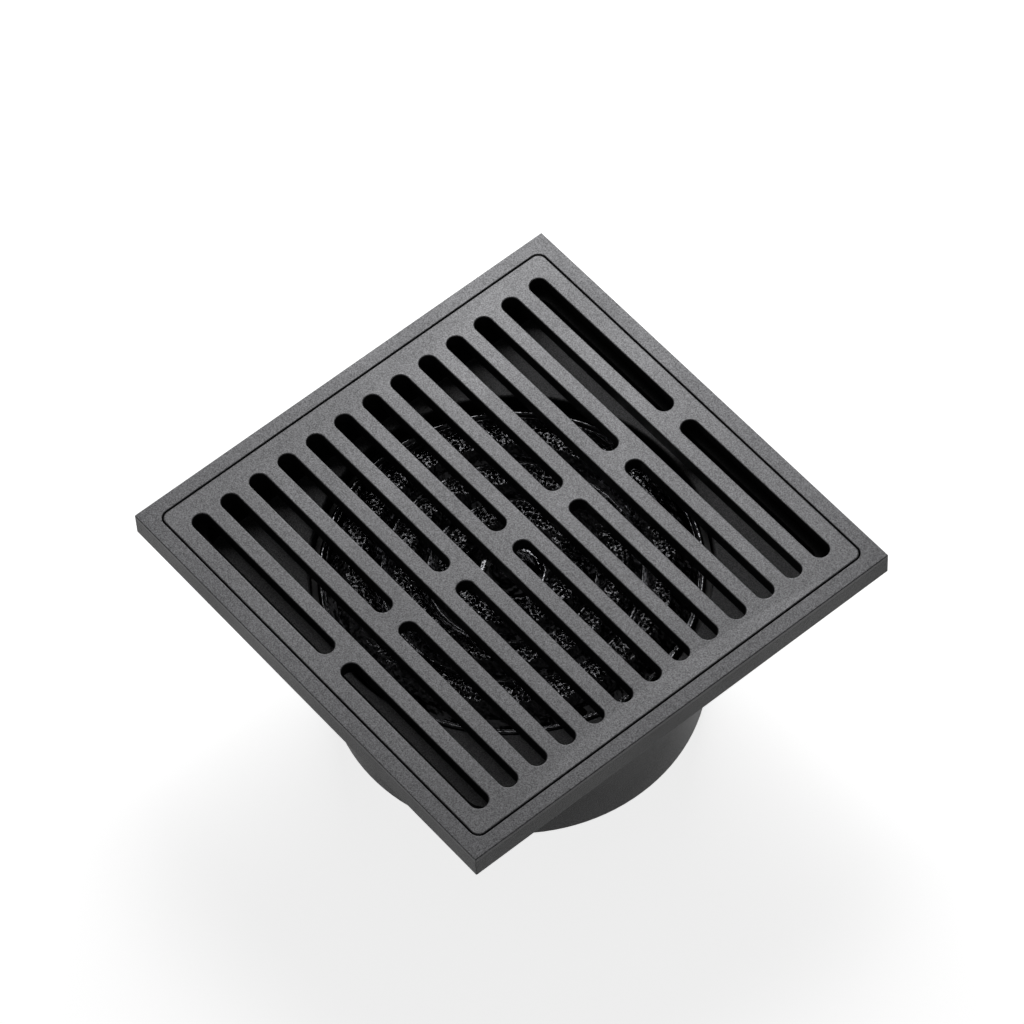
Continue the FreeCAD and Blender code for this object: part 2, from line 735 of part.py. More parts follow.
pieces = [
    make_drain_body(),
    make_cover_grate(),
    make_strainer(),
    make_ring("core_seal", "(%s + core_seal_gap)" % OUTLET_RADIUS, CORE_RADIUS, WELL_SEAT, SEAL_TOP),
    make_core_body(),
    make_plunger_stem(),
    make_ring("clamp_washer", THREAD_HOLE, "washer_radius", LIP_BOTTOM, WASHER_TOP),
    make_ring("disc_seal", THREAD_HOLE, DISC_SEAL_RADIUS, DISC_TOP, LIP_BOTTOM),
    make_plunger_disc(),
    make_disc_nut(),
    make_stem_cap(),
    make_cap_clip(),
    make_return_spring(),
]
doc.recompute()
check_document()
write_pieces(pieces)
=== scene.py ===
import json
import math

import bpy
from mathutils import Color, Matrix, Vector


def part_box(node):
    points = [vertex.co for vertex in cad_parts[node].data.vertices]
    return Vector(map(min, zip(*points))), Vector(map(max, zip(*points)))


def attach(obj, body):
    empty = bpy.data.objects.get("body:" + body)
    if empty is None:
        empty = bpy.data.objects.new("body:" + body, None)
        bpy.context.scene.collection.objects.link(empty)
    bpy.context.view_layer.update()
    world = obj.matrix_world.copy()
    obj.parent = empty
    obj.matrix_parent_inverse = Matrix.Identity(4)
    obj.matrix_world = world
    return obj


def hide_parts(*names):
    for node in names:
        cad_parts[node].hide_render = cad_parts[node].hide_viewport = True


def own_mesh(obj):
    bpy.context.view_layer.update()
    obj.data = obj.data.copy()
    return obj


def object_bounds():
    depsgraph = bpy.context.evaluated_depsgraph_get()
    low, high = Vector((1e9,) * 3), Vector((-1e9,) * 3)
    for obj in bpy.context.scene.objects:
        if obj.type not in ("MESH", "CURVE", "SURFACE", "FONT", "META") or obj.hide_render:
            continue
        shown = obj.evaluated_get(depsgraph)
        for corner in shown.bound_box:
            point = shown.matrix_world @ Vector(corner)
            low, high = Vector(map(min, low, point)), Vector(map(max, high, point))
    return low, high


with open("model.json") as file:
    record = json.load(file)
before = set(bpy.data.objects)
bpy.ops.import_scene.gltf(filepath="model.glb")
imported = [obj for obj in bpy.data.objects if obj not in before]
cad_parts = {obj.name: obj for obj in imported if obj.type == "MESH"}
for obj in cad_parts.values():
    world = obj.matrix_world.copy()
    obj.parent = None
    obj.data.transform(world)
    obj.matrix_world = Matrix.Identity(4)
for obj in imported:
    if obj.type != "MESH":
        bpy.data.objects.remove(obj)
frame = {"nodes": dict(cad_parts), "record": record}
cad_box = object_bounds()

MM = 0.001

# Slotted cover plate
COVER_CORNER = 2.6 * MM
CORNER_STEPS = 8
COVER_EDGE = 0.4 * MM
SLOT_ROWS = 13
SLOT_WIDTH = 5.5 * MM
SLOT_END_MARGIN = 6.4 * MM
SLOT_SIDE_MARGIN = 5.16 * MM
SLOT_BRIDGE = 5.96 * MM
SLOT_SIDES = 48
CUTTER_SPARE = 1 * MM
RISE_RADIUS = 268 * MM
RISE_REACH = 63.5 * MM
RISE_SLOPE = math.radians(2.6)

# Body casting
CASTING_EDGE = 0.3 * MM
# Painted shade on the casting starts this far below the rim's top.
PAINTED_SHADE_DEPTH = 1.5 * MM
TRAY_DEPTH = 13.5 * MM
TRAY_REACH = 65.3 * MM
SKIN = 0.2 * MM

# Broken edges, merged points and flats, on every piece
EDGE_STEPS = 4
SHARP_CORNER = math.radians(35)
MERGE_REACH = 0.001 * MM
FLAT_LEAN = math.radians(0.5)
FLAT_WEIGHT = 100

# Strainer, pressed from thin sheet
STRAINER_SHEET = 0.8 * MM
SHEET_SHARE = 0.96
STRAINER_RIM = 54.4 * MM
BEAD_RADIUS = 0.6 * MM
BEAD_INSET = 0.2 * MM
BEAD_TURNS = (-60, 0, 60, 120, 180)
FLANGE_WIDTH = 1.4 * MM
STRAINER_FLANK = 2 * MM
CREST_WIDTH = 5 * MM
CREST_RADII = (43.5 * MM, 30.5 * MM, 17.5 * MM)
CREST_ROWS = 3
CREST_CUT = 0.4 * MM
CELL = 1.6 * MM
CELL_WEB = 0.46 * MM
CELL_DRIFT = 0.3 * MM
DRIFT_SEED = 1
BOSS_RADIUS = 4.5 * MM
BOSS_DROP = 0.5 * MM
BOSS_MIDDLE = 3.2 * MM
BOSS_CELLS = 14
BOSS_FOOT = 11 * MM
LIFTING_HOLE = 1.6 * MM
SPIN_MERGE = 0.01 * MM
SEAM_GAP = 0.1 * MM
SEAM_REACH = 0.05 * MM
RIM_HEIGHT = 2 * MM
RIM_BLEND = 0.6 * MM
HAMMER_DEPTH = 0.6 * MM
HAMMER_SIZE = 0.9 * MM
DRIFT_REACH = 0.4 * MM
DRIFT_SIZE = 1.6 * MM
RIM_MARK_DEPTH = 0.4 * MM
RIM_MARK_SIZE = 0.9 * MM

# Return spring
SPRING_WIRE = 0.9 * MM / 2
SPRING_RADIUS = 7 * MM
SPRING_TURNS = 5.5
SPRING_STEPS = 48
WIRE_SIDES = 12

# Greys, on the 0 to 255 display scale, and how much cooler some are
DISPLAY_WHITE = 255
COVER_GREY = 118
FRAME_GREY = 117
STRAINER_GREY = 86
COATING_BLUE = 2
SPRING_GREY = 170
STEM_GREY = 180
CORE_GREY = 34
SEAL_GREY = 28
SILICONE_GREY = 196
SILICONE_BLUE = 2
DISC_GREY = 44
CAP_GREY = 40

# Roughness, from the lowest to the highest on a surface
SPRING_ROUGHNESS = (0.25, 0.35)
STEM_ROUGHNESS = (0.2, 0.3)
PLASTIC_ROUGHNESS = (0.35, 0.5)
RUBBER_ROUGHNESS = (0.6, 0.75)
SILICONE_ROUGHNESS = (0.4, 0.5)

# Painted shade on walls, depths and the ledge, painted light on the strainer's rim and valleys, and the
# grain's relief there, each against one on the flats
COVER_PAINTED_WALL_SHADE = 0.12
FRAME_PAINTED_WALL_SHADE = 0.4
TRAY_PAINTED_SHADE = 0.4
TRAY_RELIEF = 4.0
LEDGE_PAINTED_SHADE = 0.1
RIM_PAINTED_LIGHT = 1.35
RIM_RELIEF = 0.22
WALL_TO_FLAT = (0.15, 0.85)

# Finishes: grain and clouds, and bumps as a strength and a height
COATING = {
    "metallic": 0.35,
    "roughness": (0.42, 0.52),
    "grain": {"Grains per Metre": 2800.0, "Contrast": 3.2},
    "bump": (0.5, 0.05 * MM),
}
PRESSED_STEEL = {
    "metallic": 1.0,
    "roughness": (0.07, 0.12),
    "grain": {"Grains per Metre": 600.0, "Contrast": 0.9},
    "bump": (1.0, 0.45 * MM),
}
MOULD_GRAIN = {"Grains per Metre": 1500.0, "Contrast": 0.12}
MOULD_CLOUDS = {"Clouds per Metre": 60.0, "Contrast": 0.2}
MOULD_BUMP = (0.25, 0.04 * MM)
TURNING_CLOUDS = {"Clouds per Metre": 80.0}
TURNING_BUMP = (0.3, 0.02 * MM)
RISE_BUMP = (1.0, 1.0)
FRAME_SPECULAR = 0.3
NOISE_MIDDLE = 0.5
CLOUD_SPREAD = (0.25, 0.75)

# Camera, from the photograph
CAMERA_LENS = 207.51
CAMERA_SENSOR = 36
CAMERA_NEAR = 0.01
CAMERA_FAR = 100
CAMERA_AZIMUTH = math.radians(52.98)
CAMERA_ELEVATION = math.radians(55.744)
CAMERA_ROLL = math.radians(-3.619)
CAMERA_DISTANCE = 1657.46 * MM
CAMERA_AIM_SHIFT = 5.57 * MM

# Studio
WHITE = (1, 1, 1, 1)
FLOOR_PAPER = (0.8, 0.8, 0.8, 1)
FLOOR_SIZE = 12
FLOOR_LIFT = 0.8
SKY = 0.08
KEY_POWER = 1.6
KEY_SIZE = 0.28
KEY_PLACE = Vector((-0.30, 0.26, 0.40))


def select_only(piece):
    """Leaves one piece selected and active, in object mode."""
    bpy.ops.object.select_all(action="DESELECT")
    piece.select_set(True)
    bpy.context.view_layer.objects.active = piece


def enter_edit():
    """Opens the active piece in edit mode."""
    bpy.ops.object.mode_set(mode="EDIT")


def leave_edit():
    """Goes back to object mode, which keeps what was shaped."""
    bpy.ops.object.mode_set(mode="OBJECT")


def clear_picks(piece, kind):
    """Leaves a piece with nothing selected, ready for its points, edges or faces to be picked."""
    select_only(piece)
    enter_edit()
    bpy.ops.mesh.select_mode(type=kind)
    bpy.ops.mesh.select_all(action="DESELECT")
    leave_edit()


def edit_points(piece, wanted):
    """Opens a piece in edit mode with the points that pass the test selected."""
    clear_picks(piece, "VERT")
    for point in piece.data.vertices:
        point.select = wanted(point.co)
    enter_edit()


def edit_edges(piece, wanted):
    """Opens a piece in edit mode with the edges whose two ends pass the test selected."""
    clear_picks(piece, "EDGE")
    points = piece.data.vertices
    for edge in piece.data.edges:
        start, end = edge.vertices
        edge.select = wanted(points[start].co, points[end].co)
    enter_edit()


def edit_faces(piece, wanted):
    """Opens a piece in edit mode with the faces whose middles pass the test selected."""
    clear_picks(piece, "FACE")
    for face in piece.data.polygons:
        face.select = wanted(face.center)
    enter_edit()


def edit_all(piece):
    """Opens a piece in edit mode with all of it selected."""
    select_only(piece)
    enter_edit()
    bpy.ops.mesh.select_mode(type="VERT")
    bpy.ops.mesh.select_all(action="SELECT")


def apply_modifier(piece, kind, **settings):
    """Adds a modifier with these settings and makes its result the piece's mesh."""
    select_only(piece)
    bpy.ops.object.modifier_add(type=kind)
    modifier = piece.modifiers[-1]
    for name, value in settings.items():
        setattr(modifier, name, value)
    bpy.ops.object.modifier_apply(modifier=modifier.name)


def join_pieces(first, others):
    """Makes several pieces one mesh, which keeps the first one's name."""
    select_only(first)
    for piece in others:
        piece.select_set(True)
    bpy.ops.object.join()
    return first


def add_block(name, low, high):
    """A box between two corners, with its place in its mesh."""
    bpy.ops.object.select_all(action="DESELECT")
    bpy.ops.mesh.primitive_cube_add(size=1, location=(low + high) / 2)
    block = bpy.context.object
    block.name = name
    block.scale = high - low
    bpy.ops.object.transform_apply(location=True, rotation=True, scale=True)
    return block


def break_edges(piece, width):
    """Rounds every sharp edge by a small width."""
    apply_modifier(
        piece, "BEVEL", width=width, segments=EDGE_STEPS,
        limit_method="ANGLE", angle_limit=SHARP_CORNER,
    )


def smooth_flats(piece):
    """Shades a piece smooth, with its flats kept flat."""
    select_only(piece)
    bpy.ops.object.shade_smooth()
    apply_modifier(piece, "WEIGHTED_NORMAL", mode="FACE_AREA", weight=FLAT_WEIGHT)


def copy_node(node, name):
    """A merged copy of a solid's mesh, its flats made whole, to finish as a piece of its own."""
    piece = bpy.data.objects.new(name, frame["nodes"][node].data.copy())
    bpy.context.scene.collection.objects.link(piece)
    piece.data.materials.clear()
    select_only(piece)
    bpy.ops.mesh.customdata_custom_splitnormals_clear()
    edit_all(piece)
    bpy.ops.mesh.remove_doubles(threshold=MERGE_REACH)
    bpy.ops.mesh.dissolve_limited(angle_limit=FLAT_LEAN)
    leave_edit()
    return piece


def put(piece, node, material):
    """Finishes a piece that stands for a node: its material and the body it moves with."""
    piece.data.materials.clear()
    piece.data.materials.append(material)
    bodies = frame["record"]["behaviour"]["bodies"]
    body = next(name for name, members in bodies.items() if node in members)
    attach(piece, body)
    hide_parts(node)


def dress(material, *nodes):
    """Gives solids that are shown as they are a better material."""
    for node in nodes:
        solid = frame["nodes"][node]
        if not solid.material_slots:
            solid.data.materials.append(material)
        for slot in solid.material_slots:
            slot.material = material


# Shared effects


def grey(level, blue=0.0):
    """A near-neutral colour from its level on the display scale, cooler as blue grows."""
    shown = Color((level, level, level + blue)) / DISPLAY_WHITE
    return (*shown.from_srgb_to_scene_linear(), 1)


def fill_inputs(tree, node, inputs):
    """Gives each named input of a node its value, or a link where it is given a socket."""
    for name, value in inputs.items():
        if isinstance(value, bpy.types.NodeSocket):
            tree.links.new(value, node.inputs[name])
        else:
            node.inputs[name].default_value = value
    return node


def add_node(tree, kind, inputs=None, **settings):
    """A node with its settings and its inputs."""
    node = tree.nodes.new("ShaderNode" + kind)
    for name, value in settings.items():
        setattr(node, name, value)
    return fill_inputs(tree, node, inputs or {})


def add_math(tree, operation, first, second=0.0):
    """The result of one sum on numbers or sockets."""
    return add_node(tree, "Math", {0: first, 1: second}, operation=operation).outputs[0]


def add_length(tree, across, along):
    """How long a flat arrow is, from its two parts."""
    arrow = add_node(tree, "CombineXYZ", {"X": across, "Y": along}).outputs[0]
    return add_node(tree, "VectorMath", {0: arrow}, operation="LENGTH").outputs["Value"]


def add_range(tree, value, source, target):
    """Moves a value from one range to another and keeps it inside."""
    inputs = {
        "Value": value, "From Min": source[0], "From Max": source[1],
        "To Min": target[0], "To Max": target[1],
    }
    return add_node(tree, "MapRange", inputs).outputs[0]


def add_swing(tree, noise, contrast):
    """A shade near one that swings with a noise, as far as its contrast says."""
    centred = add_math(tree, "SUBTRACT", noise, NOISE_MIDDLE)
    return add_math(tree, "ADD", add_math(tree, "MULTIPLY", centred, contrast), 1.0)


def add_share(tree, mask, value):
    """One where the mask is nought, and the value where the mask is one."""
    loss = add_math(tree, "SUBTRACT", 1.0, value)
    return add_math(tree, "SUBTRACT", 1.0, add_math(tree, "MULTIPLY", mask, loss))


def new_group(name, inputs, outputs):
    """A node group with named number outputs, and inputs as (name, kind, value) after its place."""
    group = bpy.data.node_groups.new(name, "ShaderNodeTree")
    for label, kind, value in [("Place", "Vector", None)] + inputs:
        socket = group.interface.new_socket(name=label, in_out="INPUT", socket_type="NodeSocket" + kind)
        if value is not None:
            socket.default_value = value
    for label in outputs:
        group.interface.new_socket(name=label, in_out="OUTPUT", socket_type="NodeSocketFloat")
    given = group.nodes.new("NodeGroupInput").outputs
    return group, given


def give_out(group, results):
    """Links a group's results to its outputs."""
    fill_inputs(group, group.nodes.new("NodeGroupOutput"), results)
    return group


def make_grain_group():
    """Bead-blasted grain: a fine height, and a shade near one that the colour is multiplied by."""
    group, given = new_group(
        "blasted_grain",
        [("Grains per Metre", "Float", 2600.0), ("Contrast", "Float", 0.1)],
        ["Height", "Shade"],
    )
    spots = {"Vector": given["Place"], "Scale": given["Grains per Metre"]}
    pits = add_node(group, "TexVoronoi", {**spots, "Randomness": 1.0})
    speckle = add_node(group, "TexNoise", {**spots, "Detail": 3.0, "Roughness": 0.6})
    return give_out(group, {
        "Height": add_math(group, "ADD", pits.outputs["Distance"], speckle.outputs["Fac"]),
        "Shade": add_swing(group, speckle.outputs["Fac"], given["Contrast"]),
    })


def make_cloud_group():
    """Slow, cloudy changes of tone over a surface, as a shade near one and a mask."""
    group, given = new_group(
        "cloudy_tone",
        [("Clouds per Metre", "Float", 30.0), ("Contrast", "Float", 0.06)],
        ["Shade", "Mask"],
    )
    spots = {"Vector": given["Place"], "Scale": given["Clouds per Metre"], "Detail": 4.0}
    clouds = add_node(group, "TexNoise", spots).outputs["Fac"]
    return give_out(group, {"Shade": add_swing(group, clouds, given["Contrast"]), "Mask": clouds})


def make_turning_group():
    """Fine rings that a lathe leaves round the upright axis, as a height and a shade near one."""
    group, given = new_group(
        "turned_lines",
        [("Lines per Metre", "Float", 3000.0), ("Contrast", "Float", 0.15)],
        ["Height", "Shade"],
    )
    parts = add_node(group, "SeparateXYZ", {"Vector": given["Place"]}).outputs
    radius = add_length(group, parts["X"], parts["Y"])
    lane = add_node(group, "CombineXYZ", {"X": radius, "Z": parts["Z"]}).outputs[0]
    spots = {"Vector": lane, "Scale": given["Lines per Metre"], "Detail": 2.0}
    lines = add_node(group, "TexNoise", spots).outputs["Fac"]
    return give_out(group, {"Height": lines, "Shade": add_swing(group, lines, given["Contrast"])})


def make_rise_group():
    """Ends that rise gently from a large arc: their height over the middle, in metres."""
    group, given = new_group(
        "rising_ends",
        [("Radius", "Float", RISE_RADIUS), ("Reach", "Float", RISE_REACH),
         ("Slope", "Float", math.tan(RISE_SLOPE))],
        ["Height"],
    )
    parts = add_node(group, "SeparateXYZ", {"Vector": given["Place"]}).outputs
    from_middle = add_math(group, "ABSOLUTE", parts["X"])
    centre = add_math(group, "ADD", given["Reach"], given["Radius"])
    along = add_math(group, "SUBTRACT", centre, from_middle)
    distance = add_length(group, along, parts["Y"])
    inside = add_math(group, "MAXIMUM", add_math(group, "SUBTRACT", given["Radius"], distance))
    return give_out(group, {"Height": add_math(group, "MULTIPLY", inside, given["Slope"])})


def make_painted_shade_group():
    """Painted shade on walls, painted light or shade below a height and painted shade in a square hollow,
    with the grain's relief below that height and the hollow's mask.
    """
    group, given = new_group(
        "painted_wall_and_depth_shade",
        [("Normal", "Vector", None), ("Painted Wall Shade", "Float", 1.0),
         ("Top", "Float", cad_box[1].z), ("Blend", "Float", 0.1 * MM),
         ("Painted Depth Light", "Float", 1.0), ("Depth Relief", "Float", 1.0),
         ("Hollow Reach", "Float", 0.0), ("Hollow Floor", "Float", 0.0), ("Painted Hollow Shade", "Float", 1.0)],
        ["Shade", "Relief", "Hollow"],
    )
    parts = add_node(group, "SeparateXYZ", {"Vector": given["Place"]}).outputs
    facing = add_node(group, "SeparateXYZ", {"Vector": given["Normal"]}).outputs["Z"]
    # Painted shade on walls: the colour darkens as the surface leans from flat to upright.
    flatness = add_range(
        group, add_math(group, "ABSOLUTE", facing), WALL_TO_FLAT, (given["Painted Wall Shade"], 1.0),
    )
    # Painted light or shade on everything below the top height.
    under = add_math(group, "SUBTRACT", given["Top"], parts["Z"])
    below = add_range(group, under, (0.0, given["Blend"]), (0.0, 1.0))
    # Painted shade in the square hollow: inside the reach and above the hollow's floor.
    across = add_math(
        group, "MAXIMUM", add_math(group, "ABSOLUTE", parts["X"]), add_math(group, "ABSOLUTE", parts["Y"]),
    )
    within = add_math(group, "LESS_THAN", across, given["Hollow Reach"])
    above = add_math(group, "GREATER_THAN", parts["Z"], given["Hollow Floor"])
    hollow = add_math(group, "MULTIPLY", within, above)
    outside = add_math(group, "MULTIPLY", flatness, add_share(group, below, given["Painted Depth Light"]))
    shades = {"Factor": hollow, "A": outside, "B": given["Painted Hollow Shade"]}
    return give_out(group, {
        "Shade": add_node(group, "Mix", shades, data_type="FLOAT").outputs["Result"],
        "Relief": add_share(group, below, given["Depth Relief"]),
        "Hollow": hollow,
    })


GRAIN = make_grain_group()
CLOUDS = make_cloud_group()
TURNING = make_turning_group()
RISE = make_rise_group()
PAINTED_SHADE = make_painted_shade_group()


def place_group(tree, group, place, inputs=None):
    """One of the shared effects, laid over an object's own place, with its values for one finish."""
    node = tree.nodes.new("ShaderNodeGroup")
    node.node_tree = group
    return fill_inputs(tree, node, {"Place": place, **(inputs or {})}).outputs


# Materials


def shader_of(material):
    """The one shader of a material."""
    return material.node_tree.nodes["Principled BSDF"]


def new_material(name):
    """An empty material: its tree, its shader and the coordinates of its object."""
    material = bpy.data.materials.new(name)
    material.use_nodes = True
    coordinates = material.node_tree.nodes.new("ShaderNodeTexCoord").outputs
    return material, material.node_tree, shader_of(material), coordinates


def colour_from(tree, shader, colour, shades):
    """Feeds the shader a colour that is multiplied by each shade in turn."""
    for shade in shades:
        tint = add_node(tree, "CombineColor", {"Red": shade, "Green": shade, "Blue": shade}).outputs[0]
        both = {"Factor": 1.0, "A": colour, "B": tint}
        colour = add_node(tree, "Mix", both, data_type="RGBA", blend_type="MULTIPLY").outputs["Result"]
    tree.links.new(colour, shader.inputs["Base Color"])


def bump_from(tree, shader, height, bump):
    """Feeds a height to the shader's normal, over any height that it has already."""
    strength, distance = bump
    node = add_node(tree, "Bump", {"Height": height, "Strength": strength, "Distance": distance})
    for link in shader.inputs["Normal"].links:
        tree.links.new(link.from_socket, node.inputs["Normal"])
    tree.links.new(node.outputs[0], shader.inputs["Normal"])


def make_coated_metal(name, level, shades, metallic, roughness, grain, bump):
    """Grey metal, bead-blasted or pressed, with its own painted light and shade on walls and depths."""
    material, tree, shader, coordinates = new_material(name)
    place = coordinates["Object"]
    grains = place_group(tree, GRAIN, place, grain)
    clouds = place_group(tree, CLOUDS, place)
    # Painted shade on walls, depths and the hollow, and painted light below the strainer's rim height,
    # multiplied into the colour.
    painted_shade = place_group(tree, PAINTED_SHADE, place, {"Normal": coordinates["Normal"], **shades})
    colour_from(tree, shader, grey(level, COATING_BLUE), [grains["Shade"], clouds["Shade"], painted_shade["Shade"]])
    shader.inputs["Metallic"].default_value = metallic
    spread = add_range(tree, clouds["Mask"], CLOUD_SPREAD, roughness)
    tree.links.new(add_math(tree, "MAXIMUM", spread, painted_shade["Hollow"]), shader.inputs["Roughness"])
    bump_from(tree, shader, add_math(tree, "MULTIPLY", grains["Height"], painted_shade["Relief"]), bump)
    return material


def make_cover_metal():
    """The plate's coated metal: painted shade on the slot walls, and two ends that rise a little."""
    # Painted shade darkens the slot walls.
    material = make_coated_metal("cover_gunmetal", COVER_GREY, {"Painted Wall Shade": COVER_PAINTED_WALL_SHADE}, **COATING)
    tree = material.node_tree
    rise = place_group(tree, RISE, tree.nodes["Texture Coordinate"].outputs["Object"])
    bump_from(tree, shader_of(material), rise["Height"], RISE_BUMP)
    return material


def make_frame_metal():
    """The casting's coated metal: painted shade on walls and depths, and the darkest painted shade round
    the cover's ledge.
    """
    top = cad_box[1].z
    # Painted shade: darker walls, darker depths below the rim and darkest in the hollow round the ledge.
    shades = {
        "Painted Wall Shade": FRAME_PAINTED_WALL_SHADE,
        "Top": top - PAINTED_SHADE_DEPTH, "Painted Depth Light": TRAY_PAINTED_SHADE, "Depth Relief": TRAY_RELIEF,
        "Hollow Reach": TRAY_REACH, "Hollow Floor": top - TRAY_DEPTH + SKIN, "Painted Hollow Shade": LEDGE_PAINTED_SHADE,
    }
    material = make_coated_metal("frame_gunmetal", FRAME_GREY, shades, **COATING)
    shader_of(material).inputs["Specular IOR Level"].default_value = FRAME_SPECULAR
    return material


def make_strainer_steel():
    """The strainer's pressed steel: rough on the crests, smoother and with painted light on the rim and
    valleys.
    """
    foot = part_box("strainer")[0].z
    # Painted light: the rim and valleys below this height are brighter.
    shades = {
        "Top": foot + RIM_HEIGHT + RIM_BLEND, "Blend": RIM_BLEND,
        "Painted Depth Light": RIM_PAINTED_LIGHT, "Depth Relief": RIM_RELIEF,
    }
    return make_coated_metal("strainer_stainless", STRAINER_GREY, shades, **PRESSED_STEEL)


def make_turned_metal(name, level, roughness):
    """Bare steel with the fine rings of turning."""
    material, tree, shader, coordinates = new_material(name)
    lines = place_group(tree, TURNING, coordinates["Object"])
    clouds = place_group(tree, CLOUDS, coordinates["Object"], TURNING_CLOUDS)
    colour_from(tree, shader, grey(level), [lines["Shade"], clouds["Shade"]])
    shader.inputs["Metallic"].default_value = 1.0
    spread = add_range(tree, clouds["Mask"], CLOUD_SPREAD, roughness)
    tree.links.new(spread, shader.inputs["Roughness"])
    bump_from(tree, shader, lines["Height"], TURNING_BUMP)
    return material


def make_moulded(name, level, roughness, blue=0.0):
    """Moulded plastic or rubber with a fine skin."""
    material, tree, shader, coordinates = new_material(name)
    grains = place_group(tree, GRAIN, coordinates["Object"], MOULD_GRAIN)
    clouds = place_group(tree, CLOUDS, coordinates["Object"], MOULD_CLOUDS)
    colour_from(tree, shader, grey(level, blue), [grains["Shade"], clouds["Shade"]])
    spread = add_range(tree, clouds["Mask"], CLOUD_SPREAD, roughness)
    tree.links.new(spread, shader.inputs["Roughness"])
    bump_from(tree, shader, grains["Height"], MOULD_BUMP)
    return material


# Pieces


def add_slot_cutter(start, end, across, low, high):
    """A round-ended bar from start to end: a cylinder whose far half is drawn out."""
    half = SLOT_WIDTH / 2
    step = math.pi / SLOT_SIDES
    first = start + half
    bpy.ops.object.select_all(action="DESELECT")
    bpy.ops.mesh.primitive_cylinder_add(
        vertices=SLOT_SIDES, radius=half / math.cos(step), depth=high - low,
        location=(first, across, (low + high) / 2), rotation=(0, 0, step),
    )
    cutter = bpy.context.object
    bpy.ops.object.transform_apply(location=True, rotation=True, scale=True)
    edit_points(cutter, lambda point: point.x > first)
    bpy.ops.transform.translate(value=(end - start - SLOT_WIDTH, 0, 0))
    leave_edit()
    return cutter


def cut_with(piece, cutter):
    """Takes a cutter's shape out of a piece."""
    apply_modifier(piece, "BOOLEAN", operation="DIFFERENCE", solver="EXACT", object=cutter)
    bpy.data.objects.remove(cutter)


def is_upright(start, end):
    """Whether an edge between two points stands upright."""
    return abs(start.z - end.z) > (start.xy - end.xy).length


def make_cover():
    """The slotted plate: a block with round corners, cut by a bar for each slot."""
    low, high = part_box("cover_grate")
    plate = add_block("cover_plate", low, high)
    edit_edges(plate, is_upright)
    bpy.ops.mesh.bevel(offset=COVER_CORNER, segments=CORNER_STEPS, affect="EDGES")
    leave_edit()

    reach = high.x - SLOT_END_MARGIN
    pitch = (high.y - low.y - 2 * SLOT_SIDE_MARGIN - SLOT_WIDTH) / (SLOT_ROWS - 1)
    middles = [low.y + SLOT_SIDE_MARGIN + SLOT_WIDTH / 2 + row * pitch for row in range(SLOT_ROWS)]
    for across in middles:
        edit_all(plate)
        bpy.ops.mesh.bisect(plane_co=(0, across, 0), plane_no=(0, 1, 0))
        leave_edit()
    cutters = []
    for row, across in enumerate(middles):
        spans = [(-reach, reach)]
        if row % 2 == 0:
            spans = [(-reach, -SLOT_BRIDGE / 2), (SLOT_BRIDGE / 2, reach)]
        for start, end in spans:
            cutters.append(add_slot_cutter(start, end, across, low.z - CUTTER_SPARE, high.z + CUTTER_SPARE))
    cut_with(plate, join_pieces(cutters[0], cutters[1:]))
    break_edges(plate, COVER_EDGE)
    smooth_flats(plate)
    return plate


def make_casting():
    """The body casting, with its sharp edges broken."""
    casting = copy_node("drain_body", "body_casting")
    break_edges(casting, CASTING_EDGE)
    smooth_flats(casting)
    return casting


def spin_profile(name, points, count):
    """A sheet turned round the upright axis from a line of (radius, height) points."""
    bpy.ops.object.select_all(action="DESELECT")
    bpy.ops.mesh.primitive_plane_add(size=MM, location=(0, 0, 0))
    sheet = bpy.context.object
    sheet.name = name
    edit_all(sheet)
    bpy.ops.mesh.merge(type="CENTER")
    radius, height = points[0]
    bpy.ops.transform.translate(value=(radius, 0, height))
    for last, point in zip(points, points[1:]):
        step = Vector(point) - Vector(last)
        bpy.ops.mesh.extrude_region_move(TRANSFORM_OT_translate={"value": (step.x, 0, step.y)})
    bpy.ops.mesh.select_all(action="SELECT")
    bpy.ops.mesh.spin(steps=count, angle=2 * math.pi, center=(0, 0, 0), axis=(0, 0, 1))
    bpy.ops.mesh.select_all(action="SELECT")
    bpy.ops.mesh.remove_doubles(threshold=SPIN_MERGE)
    bpy.ops.mesh.normals_make_consistent(inside=False)
    leave_edit()
    return sheet


def crest_profile(crest, valley, top, outer, inner):
    """Line over one raised ring, from its outer valley to its inner one."""
    edge = CREST_WIDTH / 2
    points = [(outer, valley)]
    for row in range(CREST_ROWS + 1):
        points.append((crest + edge - row * CREST_WIDTH / CREST_ROWS, top))
    points.append((inner, valley))
    return points


def bead_profile(valley):
    """Line round the rolled rim and down to the outermost valley."""
    middle = valley + BEAD_RADIUS
    points = []
    for turn in BEAD_TURNS:
        angle = math.radians(turn)
        points.append((
            STRAINER_RIM - BEAD_INSET + BEAD_RADIUS * math.cos(angle),
            middle + BEAD_RADIUS * math.sin(angle),
        ))
    points.append((STRAINER_RIM - FLANGE_WIDTH + SEAM_GAP, valley))
    return points


def boss_profile(valley, top, outer):
    """Line from the innermost valley up over the boss to the edge of its lifting hole."""
    return [
        (outer, valley),
        (BOSS_RADIUS + STRAINER_FLANK, valley),
        (BOSS_RADIUS, top - BOSS_DROP),
        (BOSS_MIDDLE, top - BOSS_DROP / 2),
        (LIFTING_HOLE + CELL_WEB, top - BOSS_DROP / 2),
        (LIFTING_HOLE, top - BOSS_DROP),
    ]


